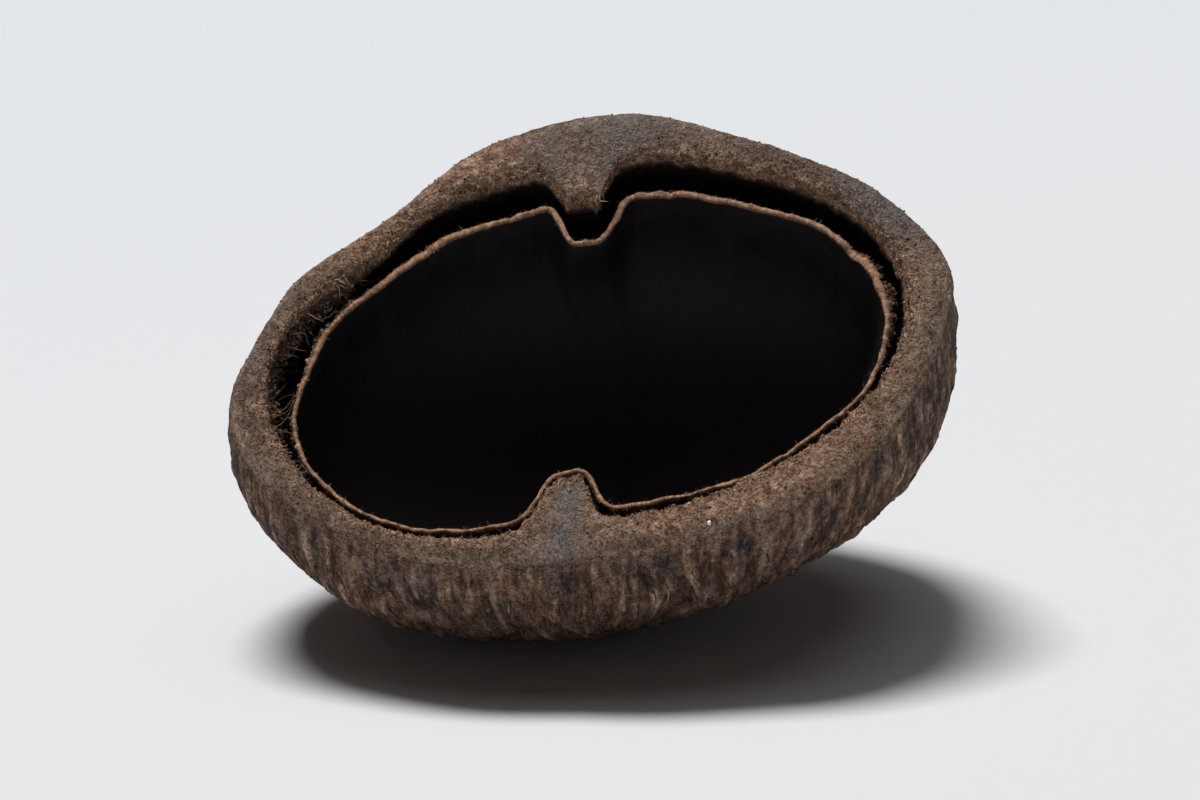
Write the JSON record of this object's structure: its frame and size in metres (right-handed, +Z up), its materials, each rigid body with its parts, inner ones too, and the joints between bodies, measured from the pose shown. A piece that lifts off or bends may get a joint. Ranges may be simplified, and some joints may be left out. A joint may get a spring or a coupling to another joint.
{
  "type": "palm pod half",
  "caption": "Half of a dried palm pod: a ribbed fibrous husk, cut across, around a thin folded inner shell, lying on a small flat spot with its mouth up and forward.",
  "frame": {"origin": "middle of the underside of the pod's box, on the surface that it lies on", "axes": "+X along the mouth's long axis as seen from the front, -Y towards the side that the mouth faces, +Z up"},
  "size_m": [0.096, 0.0652, 0.0659],
  "materials": {
    "husk": "dry matted brown fibre, like coarse felt, with darker grooves and a grey bloom on the lip",
    "inner_shell": "thin smooth woody lining, dull sheen inside, lighter tan along its broken edge"
  },
  "bodies": {
    "root": {"husk": "husk", "inner_shell": "inner_shell"}
  },
  "joints": []
}
